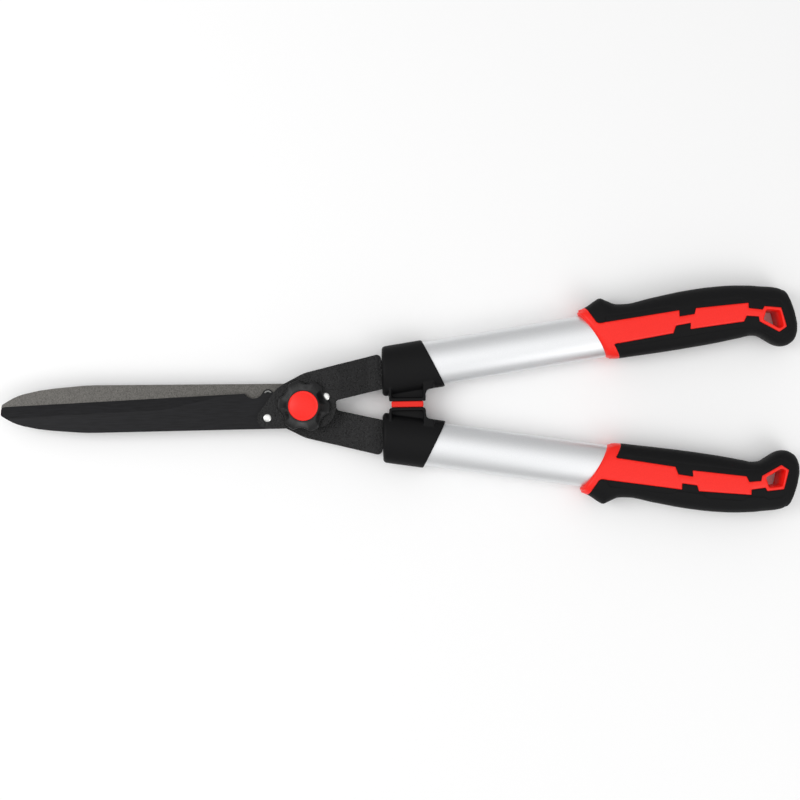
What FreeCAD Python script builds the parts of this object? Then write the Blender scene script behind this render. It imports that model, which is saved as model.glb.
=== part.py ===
# Hedge shears with straight blades, a tension dial and oval aluminium handles.
#
# Row frame: the shears lie flat and closed. +X runs from the blade tips to the grips along the line that
# halves the tool, +Y towards the handle that the front blade drives, and +Z up. The origin is on the pivot
# axis, in the plane that the tool lies on. All sizes are in millimetres and all angles in degrees.
#
# Both levers are the same set of parts: the back lever is the front lever turned half a turn about the X
# direction. Each is drawn once as the front lever, with height 0 at the plane where the two blades meet.
import FreeCAD, Part
import math
import os

Vec = FreeCAD.Vector
UP = Vec(0, 0, 1)

# ---- blades -------------------------------------------------------------------------------------------
BLADE_REACH = 227.5        # pivot axis to blade tip
BLADE_THICKNESS = 3.0
BLADE_GAP = 0.2            # running gap between the two blades
EDGE_AT_TIP = 2.4          # closed, each cutting edge has passed the middle by this much at the tip
EDGE_AT_HEEL = 9.7         # and by this much at the heel
HEEL_REACH = 44.5          # pivot axis to the heel end of the cutting edge
TIP_BACK = 3.9             # blunt tip, middle to the back of the blade
SPINE_AT_HUB = 16.5        # back of the blade from the middle
# Turns of the back towards the tip: distance from the tip, distance from the middle, corner radius.
SPINE_TURNS = ((11.0, 10.4, 40.0), (28.5, 14.9, 130.0), (64.5, 17.9, 150.0))
TIP_ROUND = 2.5
NOTCH_RADIUS = 7.7         # relief between the cutting edge and the heel
NOTCH_REACH = 38.1         # pivot axis to the middle of the relief
NOTCH_DEPTH = 3.7
TAIL_REACH = 22.4          # blade behind the pivot axis
TAIL_TOP = 11.5
TAIL_TOP_ROUND = 8.0
TAIL_BACK_ROUND = 14.0
BEVEL_WIDTH = 8.8          # ground face behind the cutting edge
BEVEL_RUNOUT = 60.0        # length over which the ground face twists flat at the heel
BEVEL_OVERRUN = 1.0        # how far the grinding runs out beyond the edge and the tip
EDGE_LAND = 0.5            # thickness left at the cutting edge

# ---- shanks -------------------------------------------------------------------------------------------
SHANK_THICKNESS = 3.5
SHANK_BOTTOM = 16.5        # straight lower side of the hub from the middle
NOSE_ROUND = 7.6           # metal round the front rivet
NOSE_CORNER = 42.7         # pivot axis to the sharp corner that the nose rounds off
BROW_CORNER = (-19.7, 14.1)
CROWN_CORNER = (0.0, 24.3)
BROW_ROUND = 25.0
HIP_REACH = 23.4           # hub behind the pivot axis
HIP_ROUND = 14.6
CROTCH_CORNER = (23.4, 3.6)
CROTCH_ROUND = 3.0
ARM_SLOPE = 13.6           # outer side of the arm from the X axis
SHOULDER_GAP = 0.4         # arm's shoulder to the collar
SHOULDER_ROUND = 3.6
TANG_WIDTH = 21.6
TANG_AXIS = 14.5           # tang axis from the inner side of the tube
TANG_DEPTH = 27.0          # part of the tang that stands in the tube
TANG_ROUND = 2.0
JOGGLE_START = 25.5        # where the arm bends towards the middle plane, along X
JOGGLE_END = 48.0
BEND_RADIUS = 3.0

# ---- rivets through blade and shank -------------------------------------------------------------------
RIVET_SPOTS = ((-27.5, -8.7), (16.2, 6.5))
RIVET_RADIUS = 2.2
RIVET_FIT = 0.05
RIVET_HEAD_RADIUS = 2.95
RIVET_HEAD_HEIGHT = 0.7
RIVET_SINK_RADIUS = 3.2    # flush head on the side of the other blade
RIVET_SINK_DEPTH = 1.1

# ---- tubes --------------------------------------------------------------------------------------------
HANDLE_ANGLE = 8.63        # tube from the X axis
TUBE_INNER = -1.1          # inner side of the tube from the parallel line through the pivot axis
TUBE_WIDTH = 33.4
TUBE_HEIGHT = 21.0
TUBE_WALL = 1.5
TUBE_START = 69.0          # pivot axis to the front end of the tube, along the tube
TUBE_LENGTH = 264.0
TUBE_FIT = 0.1             # gap of a piece that slides on or in the tube
PLUG_LENGTH = 34.0         # plastic plug round the tang
SLOT_FIT = 0.15            # gap round the tang
PIN_RADIUS = 2.5
PIN_FIT = 0.05
PIN_SETBACK = 14.0         # cross pin from the front end of the tube

# ---- collars and stop ---------------------------------------------------------------------------------
COLLAR_WALL = 1.8
COLLAR_NOSE = 58.3         # pivot axis to the flat front of the collar, along X
COLLAR_MOUTH = 100.3       # pivot axis to the slanted mouth, along the tube, at the tube axis
MOUTH_SLANT = 18.2         # mouth from square across the tube
NOSE_EDGE_ROUND = 2.8
MOUTH_EDGE_ROUND = 0.8
BOSS_START = 63.3          # hollow boss that takes the stop, along X
BOSS_LENGTH = 27.4
BOSS_HEIGHT = 18.0
BOSS_ROOT = 18.0           # how far the boss reaches into the collar, from the middle
BOSS_SIDE_WALL = 1.9
BOSS_END_WALL = 2.4
BOSS_WEB = 7.0             # between the two pockets
BOSS_FOOT = 4.0            # rounded foot where the boss's rear side meets the collar
FOOT_REACH = 6.0           # how far the foot runs along both
BOSS_ROUND = {"front": 0.8, "back": 2.6}
POCKET_ROUND = 0.5
BUMPER_LENGTH = 23.8
BUMPER_HEIGHT = 16.6
BUMPER_THICKNESS = 4.6
BUMPER_ROUND = 0.9
BUMPER_GAP = 0.1           # between the stop and the boss that it meets
TONGUE_LENGTH = 15.0
TONGUE_HEIGHT = 3.6
TONGUE_DEPTH = 3.8
TONGUE_FIT = 0.05

# ---- grips --------------------------------------------------------------------------------------------
CORE_WALL = 2.0            # hard core over the tube
SLEEVE_WALL = 1.5          # soft sleeve over the core, on the flat sides
GRIP_OVERLAP = 121.0       # front of the grip to the back end of the tube
CORE_END_WALL = 3.0        # core behind the tube
GRIP_SQUARENESS = 2.7      # grip section: 2 is an ellipse, larger is squarer
# Sections of the grip: distance from the front of the grip along the tube, how far the grip stands beyond the
# outer and the inner side of the tube, and the share of the full height.
GRIP_SECTIONS = (
    (-5.0, 2.7, 1.2, 0.87),
    (3.0, 4.3, 1.1, 0.9),
    (9.4, 6.3, 1.1, 0.93),
    (15.0, 9.1, 1.2, 0.96),
    (19.3, 10.4, 1.9, 0.98),
    (22.8, 8.3, 2.6, 0.99),
    (28.0, 5.0, 2.9, 1.0),
    (36.5, 3.3, 3.1, 1.0),
    (56.0, 4.3, 3.6, 1.0),
    (80.0, 5.5, 3.8, 1.0),
    (102.0, 5.1, 3.5, 1.0),
    (118.0, 3.6, 2.8, 1.0),
    (127.0, 2.1, 2.5, 1.0),
    (132.0, 1.2, 4.0, 1.0),
    (137.0, -0.1, 8.1, 1.0),
    (142.0, -1.2, 12.1, 0.99),
    (148.0, -2.7, 14.2, 0.97),
    (153.6, -5.3, 13.1, 0.91),
    (157.2, -9.1, 10.5, 0.81),
    (159.5, -19.2, 6.2, 0.64),
    (160.6, -27.7, 1.7, 0.43),
)
FRONT_ALLOWANCE = -40.0    # start of the cutters, ahead of the grip
# Slanted front rim: two ends and the middle of its arc, from the front of the grip and the tube axis.
RIM_ARC = ((-3.4, 23.6), (10.4, 0.7), (18.0, -24.0))
# Edge between the red core and the soft sleeve on the flat sides: (along, across, corner radius). It goes
# round the rim band, two panels with narrow links, and the frame of the hanging hole.
PANEL_OUTLINE = (
    (2.4, 31.0, 0.0),
    (12.8, 8.5, 3.0),
    (74.0, 8.1, 0.5),
    (73.4, 3.5, 0.5),
    (84.6, 3.5, 0.5),
    (86.5, 7.6, 0.5),
    (125.4, 5.1, 0.5),
    (124.9, 1.2, 0.5),
    (134.9, -1.6, 0.5),
    (136.6, 0.7, 0.8),
    (148.8, -2.3, 0.8),
    (150.7, -16.9, 0.8),
    (144.6, -19.8, 0.8),
    (131.5, -9.9, 0.8),
    (131.2, -6.1, 0.5),
    (122.5, -4.1, 0.5),
    (120.0, -8.0, 0.5),
    (79.9, -7.0, 0.5),
    (80.9, -2.5, 0.5),
    (69.7, -2.7, 0.5),
    (66.9, -7.9, 0.5),
    (22.4, -8.6, 0.8),
    (29.2, -28.0, 0.0),
)
HANGING_HOLE = (
    (137.9, -1.9, 1.5),
    (147.6, -4.4, 1.5),
    (148.4, -16.4, 1.5),
    (145.0, -17.1, 1.5),
    (134.4, -9.0, 1.5),
)

# ---- pivot --------------------------------------------------------------------------------------------
BOLT_RADIUS = 4.0
BOLT_HEAD_RADIUS = 10.0
BOLT_HEAD_ROUND = 2.0
NECK_STEP = 0.3            # square neck beyond the bolt, keys the bolt to the back shank
NECK_FIT = 0.1
BUSH_WALL = 2.5
RUNNING_FIT = 0.06
WASHER_RADIUS = 11.5
WASHER_THICKNESS = 1.2
DISC_RADIUS = 11.5
DISC_THICKNESS = 0.8
DISC_RISE = 0.5
THRUST_RADIUS = 12.5
THRUST_THICKNESS = 1.2
STACK_GAP = 0.05           # between pieces of the stack that turn against each other
NUT_WALL = 2.5             # thread to the flats
NUT_HEIGHT = 4.4
NUT_FIT = 0.1

# ---- tension dial -------------------------------------------------------------------------------------
DIAL_RADIUS = 19.5
DIAL_LOBES = 6
DIAL_PHASE = 24.0          # direction of one scallop
SCALLOP_RADIUS = 8.0
SCALLOP_DEPTH = 3.0
LOBE_ROUND = 1.6
DIAL_LIFT = 1.0            # dial above the front shank
DIAL_RIM = 2.4             # upright part of the rim
DIAL_LAND = 1.0            # flat ring round the cap
DIAL_ROOF = 1.8            # over the nut
POCKET_GAP = 0.4           # round the washers
CAP_RADIUS = 11.0
CAP_FIT = 0.1
CAP_SEAT = 1.4             # part of the cap sunk in the dial
CAP_DOME = 1.6             # part of the cap above the dial
CAP_PLUG_RADIUS = 7.0
CAP_PLUG_DEPTH = 1.0

# ---- heights from the plane where the blades meet -----------------------------------------------------
BLADE_IN = BLADE_GAP / 2
BLADE_OUT = BLADE_IN + BLADE_THICKNESS
SHANK_OUT = BLADE_OUT + SHANK_THICKNESS
REST_HEIGHT = TUBE_HEIGHT / 2 + CORE_WALL + SLEEVE_WALL     # the tool lies on its grips and its bolt head
DISC_BOTTOM = SHANK_OUT + STACK_GAP
DISC_TOP = DISC_BOTTOM + DISC_THICKNESS + DISC_RISE
THRUST_BOTTOM = DISC_TOP + STACK_GAP
NUT_BOTTOM = THRUST_BOTTOM + THRUST_THICKNESS
NUT_TOP = NUT_BOTTOM + NUT_HEIGHT
CAP_FLOOR = NUT_TOP + DIAL_ROOF
DIAL_TOP = CAP_FLOOR + CAP_SEAT
DIAL_BOTTOM = SHANK_OUT + DIAL_LIFT
TUBE_OFFSET = TUBE_INNER + TUBE_WIDTH / 2                   # tube axis from the parallel line
TANG_SHIFT = TANG_AXIS - TUBE_WIDTH / 2                     # tang axis from the tube axis
GRIP_START = TUBE_START + TUBE_LENGTH - GRIP_OVERLAP
BOSS_FACE = BUMPER_THICKNESS / 2
NECK_SIDE = 2 * (BOLT_RADIUS + NECK_STEP)
BUSH_RADIUS = BOLT_RADIUS + BUSH_WALL
NUT_FLATS = 2 * (BOLT_RADIUS + NUT_WALL)


# ---- drawing helpers ----------------------------------------------------------------------------------
def rounded_wire(corners):
    """Closed wire in the XY plane: straight edges joined by tangent arcs at corners (x, y, radius)."""
    points = [Vec(x, y, 0) for x, y, _ in corners]
    stretches = []
    for i, (_, _, radius) in enumerate(corners):
        before = (points[i - 1] - points[i]).normalize()
        after = (points[(i + 1) % len(points)] - points[i]).normalize()
        half = before.getAngle(after) / 2
        cut = radius / math.tan(half)
        middle = (before + after).normalize() * (radius / math.sin(half) - radius)
        stretches.append((points[i] + before * cut, points[i] + middle, points[i] + after * cut))
    edges = []
    for i, (start, middle, end) in enumerate(stretches):
        if corners[i][2] > 0:
            edges.append(Part.Arc(start, middle, end).toShape())
        following = stretches[(i + 1) % len(stretches)][0]
        if (following - end).Length > 1e-6:
            edges.append(Part.LineSegment(end, following).toShape())
    return Part.Wire(edges)


def slab(corners, low, high):
    """Rounded outline in the XY plane, from height low to height high."""
    face = Part.Face(rounded_wire(corners))
    face.translate(Vec(0, 0, low))
    return face.extrude(Vec(0, 0, high - low))


def box(x, y, z):
    """Box between the two values of each pair."""
    return Part.makeBox(x[1] - x[0], y[1] - y[0], z[1] - z[0], Vec(x[0], y[0], z[0]))


def rod(radius, low, high, spot=(0, 0)):
    return Part.makeCylinder(radius, high - low, Vec(spot[0], spot[1], low), UP)


def turned(profile):
    """Solid of revolution about the pivot axis from (radius, height) corners."""
    points = [Vec(radius, 0, height) for radius, height in profile]
    return Part.Face(Part.makePolygon(points + points[:1])).revolve(Vec(0, 0, 0), UP, 360)


def oval(half_width, half_height, start, end):
    """Elliptical bar along X."""
    ellipse = Part.Ellipse(Vec(start, half_width, 0), Vec(start, 0, half_height), Vec(start, 0, 0))
    return Part.Face(Part.Wire([ellipse.toShape()])).extrude(Vec(end - start, 0, 0))


def hexagon(flats, low, high):
    reach = Vec(flats / math.sqrt(3), 0, 0)
    turns = [FreeCAD.Rotation(UP, 60 * i).multVec(reach) for i in range(6)]
    return slab([(p.x, p.y, 0) for p in turns], low, high)


def on_handle(shape):
    """Takes a shape drawn along its own tube (X along the tube from the pivot) to its place on the lever."""
    return shape.translated(Vec(0, TUBE_OFFSET, 0)).rotated(Vec(0, 0, 0), UP, HANDLE_ANGLE)


def handle_point(along, across):
    """Place on the lever of a point given along the tube and across from the tube axis."""
    return on_handle(Part.Vertex(along, across, 0)).Point


def edges_where(shape, test):
    """Edges whose every point passes the test."""
    return [e for e in shape.Edges if all(test(p) for p in e.discretize(5))]


def front_piece(shape):
    """Lifts a piece of the front lever to its height above the plane the tool lies on."""
    return shape.translated(Vec(0, 0, REST_HEIGHT))


def back_piece(shape):
    """The same piece on the back lever: half a turn about the X direction, then lifted."""
    return front_piece(shape.rotated(Vec(0, 0, 0), Vec(1, 0, 0), 180))


def export(name, shape):
    if not shape.isValid() or shape.Volume <= 0:
        raise ValueError(f"{name} is not a sound solid")
    if len(shape.Solids) == 1:
        shape = shape.Solids[0]
    shape.exportStep(f"parts/{name}.step")
    print(f"{name}: {len(shape.Solids)} solid(s), {shape.Volume / 1000:.2f} cm3")


# ---- blade and shank ----------------------------------------------------------------------------------
def edge_offset(x):
    """How far the cutting edge stands from the middle at x."""
    share = (BLADE_REACH + x) / (BLADE_REACH - HEEL_REACH)
    return EDGE_AT_TIP + (EDGE_AT_HEEL - EDGE_AT_TIP) * share


def bevel_section(x, scale):
    """Section of the wedge that the grinding takes off the outer corner of the blade at x."""
    inner = edge_offset(x) - BEVEL_WIDTH
    width = BEVEL_WIDTH + BEVEL_OVERRUN
    depth = (BLADE_THICKNESS - EDGE_LAND) * scale * width / BEVEL_WIDTH
    top = BLADE_OUT + BEVEL_OVERRUN
    corners = ((inner, BLADE_OUT), (inner + width, BLADE_OUT - depth), (inner + width, top), (inner, top))
    points = [Vec(x, y, z) for y, z in corners]
    return Part.makePolygon(points + points[:1])


def blade():
    outline = (
        (-BLADE_REACH, EDGE_AT_TIP, TIP_ROUND),
        (-BLADE_REACH, -TIP_BACK, TIP_ROUND),
        *((setback - BLADE_REACH, -spine, radius) for setback, spine, radius in SPINE_TURNS),
        (TAIL_REACH, -SPINE_AT_HUB, TAIL_BACK_ROUND),
        (TAIL_REACH, TAIL_TOP, TAIL_TOP_ROUND),
        (-HEEL_REACH, EDGE_AT_HEEL, 0),
    )
    notch_centre = (-NOTCH_REACH, EDGE_AT_HEEL + NOTCH_RADIUS - NOTCH_DEPTH)
    plate = slab(outline, BLADE_IN, BLADE_OUT)
    plate = plate.cut(rod(NOTCH_RADIUS, BLADE_IN, BLADE_OUT, notch_centre))
    ends = (
        bevel_section(-BLADE_REACH - BEVEL_OVERRUN, 1),
        bevel_section(-HEEL_REACH - BEVEL_RUNOUT, 1),
        bevel_section(-HEEL_REACH, 0),
    )
    for near, far in zip(ends, ends[1:]):
        plate = plate.cut(Part.makeLoft([near, far], True, True))
    plate = plate.cut(rod(BUSH_RADIUS + RUNNING_FIT, BLADE_IN, BLADE_OUT))
    for spot in RIVET_SPOTS:
        plate = plate.cut(rivet(spot, RIVET_FIT))
    return plate


def rivet(spot, grow=0.0):
    """Rivet with a flush cone head on the inner side of the blade and a low domed head on the shank."""
    radius, sink = RIVET_RADIUS + grow, RIVET_SINK_RADIUS + grow
    top = SHANK_OUT + RIVET_HEAD_HEIGHT
    stem = rod(radius, BLADE_IN, top - RIVET_HEAD_HEIGHT / 2, spot)
    cone = Part.makeCone(sink, radius, RIVET_SINK_DEPTH, Vec(*spot, BLADE_IN), UP)
    head = rod(RIVET_HEAD_RADIUS, SHANK_OUT, top, spot)
    head = head.makeFillet(RIVET_HEAD_HEIGHT * 0.7, edges_where(head, lambda p: abs(p.z - top) < 1e-4))
    return stem.fuse([cone, head]).removeSplitter()


def shank_outline():
    shoulder = COLLAR_NOSE - SHOULDER_GAP
    outer_y = CROWN_CORNER[1] + (shoulder - CROWN_CORNER[0]) * math.tan(math.radians(ARM_SLOPE))
    tang_end = TUBE_START + TANG_DEPTH
    tang_sides = []
    for side in (TANG_WIDTH / 2, -TANG_WIDTH / 2):
        far = handle_point(tang_end, TANG_SHIFT + side)
        near = far - Vec(1, math.tan(math.radians(HANDLE_ANGLE)), 0) * (far.x - shoulder)
        tang_sides.append((near, far))
    (outer_near, outer_far), (inner_near, inner_far) = tang_sides
    return (
        (-NOSE_CORNER, -SHANK_BOTTOM, NOSE_ROUND),
        (*BROW_CORNER, BROW_ROUND),
        (*CROWN_CORNER, BROW_ROUND),
        (shoulder, outer_y, SHOULDER_ROUND),
        (outer_near.x, outer_near.y, 0),
        (outer_far.x, outer_far.y, TANG_ROUND),
        (inner_far.x, inner_far.y, TANG_ROUND),
        (inner_near.x, inner_near.y, 0),
        (*CROTCH_CORNER, CROTCH_ROUND),
        (HIP_REACH, -SHANK_BOTTOM, HIP_ROUND),
    )


def joggled_sheet(span):
    """Sheet as wide as span, flat on the blade, then stepping down to the middle plane."""
    low, end = -SHANK_THICKNESS / 2, TUBE_START + TANG_DEPTH + SHANK_BOTTOM
    lower = [(-NOSE_CORNER, BLADE_OUT), (JOGGLE_START, BLADE_OUT), (JOGGLE_END, low), (end, low)]
    rounds = [0, BEND_RADIUS, BEND_RADIUS + SHANK_THICKNESS, 0]
    upper = [(x, z + SHANK_THICKNESS) for x, z in lower]
    corners = [(x, z, r) for (x, z), r in zip(lower, rounds)]
    corners += [(x, z, r) for (x, z), r in zip(reversed(upper), rounds)]
    sheet = slab(corners, -span, span)
    return sheet.rotated(Vec(0, 0, 0), Vec(1, 0, 0), 90)


def shank(hole):
    """Pressed shank; hole is the solid that passes through its hub."""
    plan = slab(shank_outline(), -SHANK_OUT, SHANK_OUT + SHANK_THICKNESS)
    plate = plan.common(joggled_sheet(3 * SHANK_BOTTOM))
    for spot in RIVET_SPOTS:
        plate = plate.cut(rod(RIVET_RADIUS + RIVET_FIT, BLADE_OUT, SHANK_OUT, spot))
    return plate.cut(on_handle(pin_hole())).cut(hole)


# ---- handle -------------------------------------------------------------------------------------------
def pin_rod(radius, reach):
    """Rod across the tube where the pin stands, as far as reach on both sides of the tube axis."""
    return rod(radius, -reach, reach, (TUBE_START + PIN_SETBACK, 0))


def pin_hole():
    return pin_rod(PIN_RADIUS + PIN_FIT, TUBE_HEIGHT)


def tube():
    end = TUBE_START + TUBE_LENGTH
    inside = oval(TUBE_WIDTH / 2 - TUBE_WALL, TUBE_HEIGHT / 2 - TUBE_WALL, TUBE_START, end)
    return oval(TUBE_WIDTH / 2, TUBE_HEIGHT / 2, TUBE_START, end).cut(inside).cut(pin_hole())


def tang_plug():
    """Plug between tang and tube."""
    gap = TUBE_WALL + TUBE_FIT
    plug = oval(TUBE_WIDTH / 2 - gap, TUBE_HEIGHT / 2 - gap, TUBE_START, TUBE_START + PLUG_LENGTH)
    return on_handle(plug.cut(pin_hole()).cut(tang_slot()))


def tang_slot():
    """Room for the tang along its tube."""
    half_width, half_height = TANG_WIDTH / 2 + SLOT_FIT, SHANK_THICKNESS / 2 + SLOT_FIT
    reach = (0, TUBE_START + TANG_DEPTH + SLOT_FIT)
    return box(reach, (TANG_SHIFT - half_width, TANG_SHIFT + half_width), (-half_height, half_height))


def boss(side):
    """Hollow block under the collar: side walls and end wall round a pocket on each side of a web."""
    start, end = BOSS_START, BOSS_START + BOSS_LENGTH
    corners = ((start, BOSS_FACE), (end, BOSS_FACE), (end, BOSS_ROOT), (start, BOSS_ROOT))
    rounds = (BOSS_ROUND[side], BOSS_ROUND[side], 0, 0)
    half = BOSS_HEIGHT / 2
    block = slab([(x, y, r) for (x, y), r in zip(corners, rounds)], -half, half)
    left, right = start + BOSS_SIDE_WALL, end - BOSS_SIDE_WALL
    floor = BOSS_FACE + BOSS_END_WALL
    inside = ((left, floor), (right, floor), (right, BOSS_ROOT), (left, BOSS_ROOT))
    round_in = max(BOSS_ROUND[side] - BOSS_SIDE_WALL, POCKET_ROUND)
    for low, high in ((BOSS_WEB / 2, half), (-half, -BOSS_WEB / 2)):
        block = block.cut(slab([(x, y, round_in) for x, y in inside], low, high))
    slope = math.tan(math.radians(HANDLE_ANGLE))
    side_point = handle_point(0, -TUBE_WIDTH / 2 - TUBE_FIT - COLLAR_WALL)
    foot_y = side_point.y + (end - side_point.x) * slope
    foot = (
        (right, foot_y - FOOT_REACH, 0),
        (end, foot_y - FOOT_REACH, 0),
        (end, foot_y, BOSS_FOOT),
        (end + FOOT_REACH, foot_y + FOOT_REACH * slope, 0),
        (end + FOOT_REACH, BOSS_ROOT, 0),
        (right, BOSS_ROOT, 0),
    )
    return block.fuse(slab(foot, -half, half))



def collar(side):
    """Collar drawn on the lever: its flat front is square to X and its mouth is slanted."""
    grow = TUBE_FIT + COLLAR_WALL
    half_width, half_height = TUBE_WIDTH / 2 + grow, TUBE_HEIGHT / 2 + grow
    body = oval(half_width, half_height, 0, COLLAR_MOUTH + half_width)
    beyond = box((0, 4 * half_width), (-2 * half_width, 2 * half_width), (-half_width, half_width))
    beyond = beyond.rotated(Vec(0, 0, 0), UP, MOUTH_SLANT).translated(Vec(COLLAR_MOUTH, 0, 0))
    body = body.cut(beyond)
    slant = math.tan(math.radians(MOUTH_SLANT))
    mouth_edges = edges_where(body, lambda p: abs(p.x + p.y * slant - COLLAR_MOUTH) < 0.01)
    body = body.makeFillet(MOUTH_EDGE_ROUND, mouth_edges)
    body = on_handle(body)
    body = body.cut(box((-COLLAR_NOSE, COLLAR_NOSE), (-COLLAR_NOSE, COLLAR_NOSE), (-half_width, half_width)))
    body = body.makeFillet(NOSE_EDGE_ROUND, edges_where(body, lambda p: abs(p.x - COLLAR_NOSE) < 0.01))
    body = body.fuse(boss(side))
    bore_end = COLLAR_MOUTH + 2 * half_width
    bore = oval(TUBE_WIDTH / 2 + TUBE_FIT, TUBE_HEIGHT / 2 + TUBE_FIT, TUBE_START, bore_end)
    body = body.cut(on_handle(bore)).cut(on_handle(tang_slot()))
    if side == "front":
        body = body.cut(bumper_tongue(TONGUE_FIT))
    return body.removeSplitter()


def bumper_tongue(grow=0.0):
    middle = BOSS_START + BOSS_LENGTH / 2
    half_length, half_height = TONGUE_LENGTH / 2 + grow, TONGUE_HEIGHT / 2 + grow
    return box((middle - half_length, middle + half_length), (BOSS_FACE, BOSS_FACE + TONGUE_DEPTH + grow),
               (-half_height, half_height))


def bumper():
    middle = BOSS_START + BOSS_LENGTH / 2
    ends = (middle - BUMPER_LENGTH / 2, middle + BUMPER_LENGTH / 2)
    block = box(ends, (-BOSS_FACE + BUMPER_GAP, BOSS_FACE), (-BUMPER_HEIGHT / 2, BUMPER_HEIGHT / 2))
    block = block.makeFillet(BUMPER_ROUND, edges_where(block, lambda p: p.y < BOSS_FACE - 1e-3))
    return block.fuse(bumper_tongue())


# ---- grip ---------------------------------------------------------------------------------------------
def grip_section(along, outer, inner, share):
    """Closed rounded section square to the tube."""
    centre, half_width = (outer - inner) / 2, (outer + inner + TUBE_WIDTH) / 2
    half_height = REST_HEIGHT * share
    points = []
    for step in range(24):
        turn = math.radians(step * 15)
        c, s = math.cos(turn), math.sin(turn)
        y = centre + half_width * math.copysign(abs(c) ** (2 / GRIP_SQUARENESS), c)
        z = half_height * math.copysign(abs(s) ** (2 / GRIP_SQUARENESS), s)
        points.append(Vec(GRIP_START + along, y, z))
    curve = Part.BSplineCurve()
    curve.interpolate(points, PeriodicFlag=True)
    return Part.Wire([curve.toShape()])


def grip_body():
    """Outside of the whole grip, with its slanted front rim."""
    body = Part.makeLoft([grip_section(*section) for section in GRIP_SECTIONS], True, False)
    (x0, y0), middle, (x1, y1) = RIM_ARC
    arc = Part.Arc(Vec(x0, y0, 0), Vec(*middle, 0), Vec(x1, y1, 0)).toShape()
    ahead = [Vec(x1, y1, 0), Vec(FRONT_ALLOWANCE, y1, 0), Vec(FRONT_ALLOWANCE, y0, 0), Vec(x0, y0, 0)]
    sides = [Part.LineSegment(near, far).toShape() for near, far in zip(ahead, ahead[1:])]
    front = Part.Face(Part.Wire([arc] + sides)).extrude(Vec(0, 0, 4 * REST_HEIGHT))
    return body.cut(front.translated(Vec(GRIP_START, 0, -2 * REST_HEIGHT)))


def along_grip(corners):
    return [(GRIP_START + x, y, r) for x, y, r in corners]


def grip_pieces():
    """Core and sleeve, drawn along the tube."""
    body = grip_body()
    reach = 2 * REST_HEIGHT
    tube_end = TUBE_START + TUBE_LENGTH
    bore = oval(TUBE_WIDTH / 2 + TUBE_FIT, TUBE_HEIGHT / 2 + TUBE_FIT, 0, tube_end + TUBE_FIT)
    hole = slab(along_grip(HANGING_HOLE), -reach, reach)
    ahead = ((FRONT_ALLOWANCE, PANEL_OUTLINE[-1][1], 0), (FRONT_ALLOWANCE, PANEL_OUTLINE[0][1], 0))
    red_area = slab(along_grip(PANEL_OUTLINE + ahead), -reach, reach)
    socket = oval(TUBE_WIDTH / 2 + CORE_WALL, TUBE_HEIGHT / 2 + CORE_WALL, GRIP_START + FRONT_ALLOWANCE,
                  tube_end + CORE_END_WALL)
    core = body.common(red_area.fuse(socket)).cut(bore).cut(hole)
    sleeve = body.cut(red_area).cut(socket).cut(hole)
    return core, sleeve


# ---- pivot --------------------------------------------------------------------------------------------
def square_neck(grow=0.0):
    half = NECK_SIDE / 2 + grow
    return box((-half, half), (-half, half), (-SHANK_OUT - WASHER_THICKNESS, -BLADE_OUT))


def pivot_bolt():
    head_top = -SHANK_OUT - WASHER_THICKNESS
    head = rod(BOLT_HEAD_RADIUS, -REST_HEIGHT, head_top)
    head = head.makeFillet(BOLT_HEAD_ROUND, edges_where(head, lambda p: abs(p.z + REST_HEIGHT) < 1e-4))
    return head.fuse([square_neck(), rod(BOLT_RADIUS, head_top, NUT_TOP)]).removeSplitter()


def pivot_washer():
    bore = NECK_SIDE / math.sqrt(2) + NECK_FIT
    plate = rod(WASHER_RADIUS, -SHANK_OUT - WASHER_THICKNESS, -SHANK_OUT)
    return plate.cut(rod(bore, -SHANK_OUT - WASHER_THICKNESS, -SHANK_OUT))


def pivot_bush():
    top = SHANK_OUT - STACK_GAP
    return rod(BUSH_RADIUS, -BLADE_OUT, top).cut(rod(BOLT_RADIUS + RUNNING_FIT, -BLADE_OUT, top))


def spring_washer():
    bore, low = BOLT_RADIUS + 3 * RUNNING_FIT, DISC_BOTTOM
    return turned(((DISC_RADIUS, low), (DISC_RADIUS, low + DISC_THICKNESS), (bore, DISC_TOP),
                   (bore, DISC_TOP - DISC_THICKNESS)))


def thrust_washer():
    plate = rod(THRUST_RADIUS, THRUST_BOTTOM, NUT_BOTTOM)
    return plate.cut(rod(BOLT_RADIUS + 3 * RUNNING_FIT, THRUST_BOTTOM, NUT_BOTTOM))


def tension_nut():
    return hexagon(NUT_FLATS, NUT_BOTTOM, NUT_TOP).cut(rod(BOLT_RADIUS + RUNNING_FIT, NUT_BOTTOM, NUT_TOP))


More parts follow.
